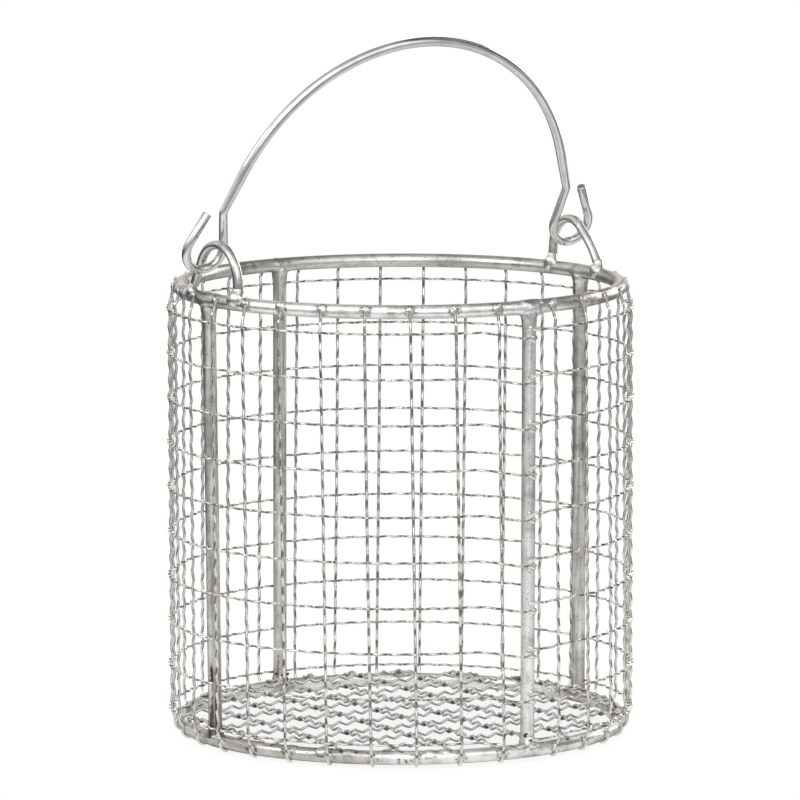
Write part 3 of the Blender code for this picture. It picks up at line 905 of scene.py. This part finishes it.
def make_pits():
    """Painted shade of pits as near-black blobs: at the feet of the uprights, in a hole beside the seam
    upright's foot, and where base wires end on the bottom ring.
    """
    chance = random.Random(11)
    places = []
    for number, count in ((3, 2), (1, 5), (2, 3), (0, 1)):
        foot = math.radians(UPRIGHT_FEET[number])
        face = -1 if number in (0, 1) else 1
        for _ in range(count):
            theta = foot + chance.uniform(-0.034, 0.034)
            height = BOTTOM_RING_Z + ROD / 2 + chance.uniform(0.0002, 0.0034)
            side = math.asin((theta - foot) * RING_RADIUS / (ROD / 2 + 0.0008))
            centre = around(RING_RADIUS + face * (ROD / 2 + 0.0002) * math.cos(side), theta, height)
            size = chance.uniform(0.5, 1.0)
            half = (0.001 * size, 0.0005, 0.0008 * size)
            places.append((centre, ring_axes(theta), half, chance.random(), 0.5))
    # Painted shade of a hole in the weld beside the seam upright's foot
    hole = seam_foot_face(0.0119, 0.0001, -0.0006)
    places.append((hole, columns(RIGHT, -AWAY), (0.0011, 0.0004, 0.001), 0.4, 0.4))
    for line, family, way in itertools.product(range(-4, 5), (0, 1), (-1, 1)):
        offset = BASE_SHIFTS[1 - family] + line * BASE_PITCH
        if chance.random() < 0.35 or abs(offset) >= BASE_REACH:
            continue
        along = base_end(offset, way, family)
        x, y = (along, offset) if family == 0 else (offset, along)
        x += chance.uniform(-0.0012, 0.0012)
        y += chance.uniform(-0.0012, 0.0012)
        place = Matrix.Rotation(BASE_TURN, 3, "Z") @ Vector((x, y, 0))
        if place.length < RING_RADIUS - ROD / 2:
            continue
        lift = math.sqrt(max(0, (ROD / 2) ** 2 - (place.length - RING_RADIUS) ** 2))
        centre = place + Vector((0, 0, BOTTOM_RING_Z + lift))
        size = chance.uniform(0.5, 1.0)
        half = (0.0011 * size, 0.0008 * size, 0.0003)
        places.append((centre, ring_axes(math.atan2(place.y, place.x)), half, chance.random(), 0.5))
    return finish_piece(blobs("weld_pits", places, SOOT), "frame_rod")


# Heat tint on the rings: degrees, reach and depth
TOP_TINTS = ((180, 0.02, 0.38), (-172, 0.012, 0.3), (10, 0.018, 0.34), (-4, 0.012, 0.26),
             (-74, 0.014, 0.3), (-59, 0.009, 0.42), (92, 0.01, 0.25))
BOTTOM_TINTS = ((0.9, 0.014, 0.4), (91.1, 0.012, 0.5), (179.6, 0.016, 0.45), (-137, 0.018, 0.42),
                (-151, 0.022, 0.4), (-168, 0.02, 0.42), (-128, 0.006, 0.3))

# Weld metal on the rings, besides their joints: degrees, way out, rise, reach, height and darkening
TOP_WELDS = (
    (167.4, 0.0018, 0.002, 0.005, 0.00055, 0.45), (165.0, 0.0018, 0.0016, 0.0046, 0.00055, 0.45),
    (162.8, 0.0018, 0.0018, 0.004, 0.00055, 0.45), (UPRIGHT_HEADS[3], 0.0024, -0.001, 0.0075, 0.0004, 0.1),
    (UPRIGHT_HEADS[2] + 2.0, 0.0024, -0.001, 0.0065, 0.0004, 0.1),
    (UPRIGHT_HEADS[2] - 1.5, 0.0024, -0.001, 0.0045, 0.0004, 0.1))
BOTTOM_WELDS = (
    (-123.3, 0.0029, -0.0012, 0.0019, 0.0, 1.0), (-116.5, 0.0016, 0.0026, 0.0028, 0.0005, 0.55),
    (-112.5, 0.0012, 0.0028, 0.0024, 0.0006, 0.5), (-137.0, 0.0012, 0.0028, 0.003, 0.0004, 0.8),
    (-143.5, 0.001, 0.0029, 0.0034, 0.0005, 1.0), (-153.0, 0.0016, 0.0026, 0.0034, 0.0004, 0.8))

# Each upright's heat stain at the foot, as depth and reach, and the depth of its painted shade
UPRIGHT_FINISH = ((0.52, 0.034, 0.3), (0.6, 0.018, 0.32), (1.0, 0.032, 0.3), (0.1, 0.02, 0.0))


def make_basket():
    """Every piece of the basket."""
    make_ring("top_hoop", "top_ring", TOP_RING_Z, -1, UPRIGHT_HEADS, 0.0008, TOP_TINTS, TOP_WELDS, TOP_DULL)
    make_ring("bottom_hoop", "bottom_ring", BOTTOM_RING_Z, 1, UPRIGHT_FEET, 0, BOTTOM_TINTS, BOTTOM_WELDS, 0)
    for number, finish in enumerate(UPRIGHT_FINISH):
        make_upright(number, *finish)
    for warp in range(WARPS):
        make_warp(warp)
    for weft in range(WEFTS):
        make_weft(weft)
    base = join("base_weave", make_base_family(0) + make_base_family(1))
    finish_piece(base, "mesh_wire", "base_mesh")
    make_ear("ear_loop_left", "ear_left", **LEFT_EAR)
    make_ear("ear_loop_right", "ear_right", **RIGHT_EAR)
    make_bail()
    make_ear_welds()
    make_frame_welds()
    make_mesh_welds()
    make_pits()


# How white the floor is to the camera, by distance: start, end, low, high
WHITE_FADE = (0.085, 0.108, 0.72, 1.0)

# Grey of the studio in the metal. Over the floor, a glow seen by the metal's rays, by distance in its reach,
# that paints reflected shade under the basket and in a band further out, with painted light far behind and
# painted shade to the left behind. In the sky by the sine of elevation, with patches as (direction, cosines
# where it starts and is full, factor). Last, the sky's strength for all other light
FLOOR_REACH = 1.6
FLOOR_GREYS = ((0.0, 0.74), (0.052, 0.74), (0.068, 0.84), (0.18, 0.98), (0.27, 0.9), (0.35, 0.25),
               (0.46, 0.34), (0.7, 0.48), (1.0, 0.54))
BACKDROP = (0.85, 1.35, 0, 0.6)
DARK_SIDE = (0.25, 0.5, 1, 0.25)
DARK_SIDE_WAY = AWAY * 0.72 - RIGHT * 0.69
SKY_GREYS = ((0.0, 0.46), (0.12, 0.58), (0.26, 0.85), (0.5, 1.0), (0.72, 1.0), (0.84, 0.56), (1.0, 0.52))
SKY_PATCHES = (
    (-AWAY + RIGHT * 0.05 + Vector((0, 0, 0.3)), 0.92, 0.98, 2.3),
    (-AWAY * 0.75 + RIGHT * 0.65 + Vector((0, 0, 0.75)), 0.5, 0.95, 1.28),
    (AWAY * 0.54 + RIGHT * 0.84 + Vector((0, 0, 0.45)), 0.63, 0.77, 0.24),
    (AWAY + Vector((0, 0, 0.14)), 0.86, 0.97, 3.4),
    (AWAY - RIGHT * 0.25 + Vector((0, 0, 0.85)), 0.8, 0.97, 0.55))
SHADOW_SKY = 0.85

# The softboxes: bearing from the camera's side towards its right, height, distance, size and power
SOFTBOXES = {
    "key": (-22, 1.5, 1.1, 1.2, 3.0), "side": (-62, 1.0, 1.4, 0.5, 4), "rim": (136, 0.6, 1.6, 1.0, 9)}


def grey_ramp(tree, value, greys):
    """A ramp of greys, each (place, grey)."""
    return ramp(tree, value, [(place, (grey,) * 3) for place, grey in greys])


def show_white(tree):
    """1 for camera, glossy and transmission rays, which see a white studio, and 1 for camera rays alone."""
    rays = add_node(tree, "ShaderNodeLightPath").outputs
    seen = maths(tree, "MAXIMUM", rays["Is Camera Ray"], rays["Is Glossy Ray"])
    return maths(tree, "MAXIMUM", seen, rays["Is Transmission Ray"]), rays["Is Camera Ray"]


def make_floor():
    """A pale floor that keeps a faint shadow and runs out to white to the camera; to the metal it glows grey,
    with painted shade under the basket and to the left behind and painted light far behind.
    """
    bpy.ops.mesh.primitive_circle_add(vertices=96, radius=9, fill_type="NGON", location=(0, 0, 0))
    floor = bpy.context.object
    floor.name = "floor"
    material = bpy.data.materials.new("pale_floor")
    material.use_nodes = True
    tree = material.node_tree
    tree.nodes.clear()
    white, to_camera = show_white(tree)
    place = add_node(tree, "ShaderNodeTexCoord").outputs["Object"]
    distance = add_node(tree, "ShaderNodeVectorMath", {0: place}, operation="LENGTH").outputs["Value"]
    share = maths(tree, "MULTIPLY", white, remap(tree, distance, *WHITE_FADE, "SMOOTHSTEP"))
    # Painted reflection: the glow the metal sees, darker under the basket, in a band further out and to the
    # left behind, lighter far behind
    grade = grey_ramp(tree, remap(tree, distance, 0, FLOOR_REACH), FLOOR_GREYS)
    backdrop = remap(tree, dot(tree, place, AWAY), *BACKDROP, "SMOOTHSTEP")
    dark_side = remap(tree, dot(tree, place, DARK_SIDE_WAY), *DARK_SIDE, "SMOOTHSTEP")
    metal_sees = maths(tree, "MULTIPLY", maths(tree, "ADD", grade, backdrop), dark_side)
    level = mix(tree, to_camera, metal_sees, 1.0)
    tone = grey_ramp(tree, grain_at(tree, place, 40, 3), ((0.3, 0.8), (0.7, 0.84)))
    matte = add_node(tree, "ShaderNodeBsdfDiffuse", {"Color": tone})
    glow = add_node(tree, "ShaderNodeEmission", {"Color": (1, 1, 1, 1), "Strength": level})
    mixed = add_node(tree, "ShaderNodeMixShader", {0: share, 1: matte.outputs[0], 2: glow.outputs[0]})
    add_node(tree, "ShaderNodeOutputMaterial", {"Surface": mixed.outputs[0]})
    floor.data.materials.append(material)


def make_camera():
    """A long lens at the photograph's angle, turned up, with the basket low in the frame."""
    data = bpy.data.cameras.new("camera")
    camera = put_in_scene("camera", data)
    forward = AWAY * math.cos(CAMERA_TILT) - Vector((0, 0, math.sin(CAMERA_TILT)))
    camera.location = Vector((0, 0, CAMERA_LOOK_Z)) - forward * CAMERA_DISTANCE
    rise = math.atan(CENTRE_DOWN_PIXELS / FOCAL_PIXELS)
    aim = AWAY * math.cos(CAMERA_TILT - rise) - Vector((0, 0, math.sin(CAMERA_TILT - rise)))
    axes = Matrix((RIGHT, RIGHT.cross(aim), -aim)).transposed().to_4x4()
    camera.matrix_world = Matrix.Translation(camera.location) @ axes @ Matrix.Rotation(CAMERA_ROLL, 4, "Z")
    data.sensor_width = SENSOR_WIDTH
    data.lens = FOCAL_PIXELS / IMAGE_PIXELS * SENSOR_WIDTH
    data.shift_x = CENTRE_SIDE_PIXELS / IMAGE_PIXELS
    bpy.context.scene.camera = camera


def make_softbox(name, bearing, height, distance, size, power):
    """A square lamp aimed at the basket, at a bearing from the camera's side towards its right."""
    angle = math.radians(bearing)
    toward = -AWAY * math.cos(angle) + RIGHT * math.sin(angle)
    place = toward * distance + Vector((0, 0, height))
    lamp = bpy.data.lights.new(name, "AREA")
    lamp.size = size
    lamp.energy = power
    obj = put_in_scene(name, lamp)
    obj.location = place
    obj.rotation_euler = (Vector((0, 0, 0.1)) - place).to_track_quat("-Z", "Y").to_euler()


def make_world():
    """White to the camera; to the metal, a white studio with soft darker stretches between its screens."""
    world = bpy.data.worlds.new("studio")
    bpy.context.scene.world = world
    world.use_nodes = True
    tree = world.node_tree
    tree.nodes.clear()
    white, to_camera = show_white(tree)
    place = add_node(tree, "ShaderNodeTexCoord").outputs["Generated"]
    split = add_node(tree, "ShaderNodeSeparateXYZ", {"Vector": place})
    total = grey_ramp(tree, split.outputs["Z"], SKY_GREYS)
    for toward, low, high, factor in SKY_PATCHES:
        facing = dot(tree, place, toward.normalized())
        total = maths(tree, "MULTIPLY", total, remap(tree, facing, low, high, 1, factor, "SMOOTHSTEP"))
    strength = mix(tree, white, SHADOW_SKY, mix(tree, to_camera, total, 1.0))
    background = add_node(tree, "ShaderNodeBackground", {"Color": (1, 1, 1, 1), "Strength": strength})
    add_node(tree, "ShaderNodeOutputWorld", {"Surface": background.outputs[0]})


make_basket()
make_floor()
make_camera()
for softbox, setting in SOFTBOXES.items():
    make_softbox(softbox, *setting)
make_world()
bpy.context.scene.view_settings.view_transform = "Standard"
